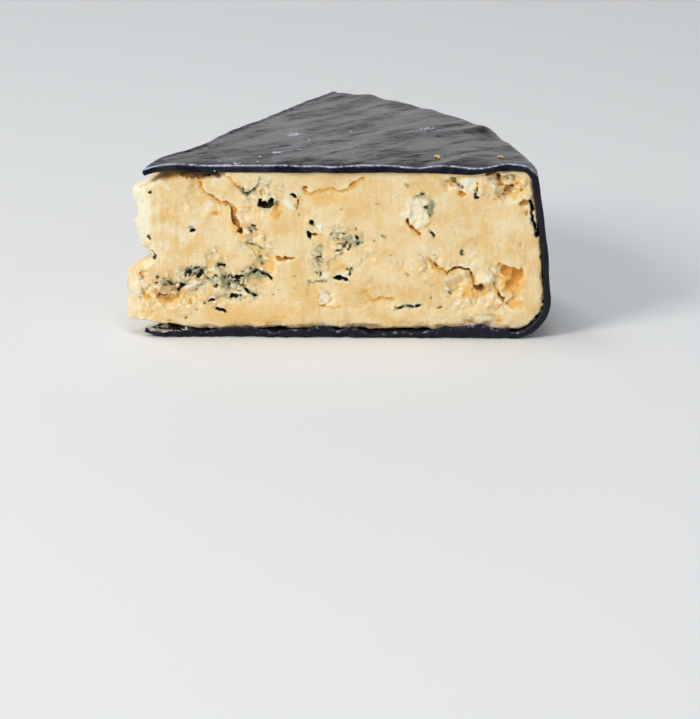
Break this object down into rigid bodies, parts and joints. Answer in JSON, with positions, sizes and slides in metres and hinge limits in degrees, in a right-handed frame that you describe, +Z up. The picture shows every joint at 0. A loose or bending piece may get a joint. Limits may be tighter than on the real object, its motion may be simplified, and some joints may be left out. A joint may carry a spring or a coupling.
{
  "type": "blue cheese wedge",
  "caption": "Wedge of blue-veined cheese cut from a small wheel, with dark wax over its top, rim and base and crumbly, mould-pitted cut faces.",
  "frame": {"origin": "under the middle of the part's box, on the surface it rests on", "axes": "+Z up; the front cut face looks along -Y; the wedge's point is towards -X and the rim of the wheel towards +X"},
  "size_m": [0.1, 0.0862, 0.0427],
  "materials": {
    "paste": "cream-yellow crumbly paste with blue-green mould in its hollows",
    "wax": "blue-black wax, satin on top, glossier on its cut edges"
  },
  "bodies": {
    "root": {"cheese_paste": "paste", "wax_coat": "wax"}
  },
  "joints": []
}
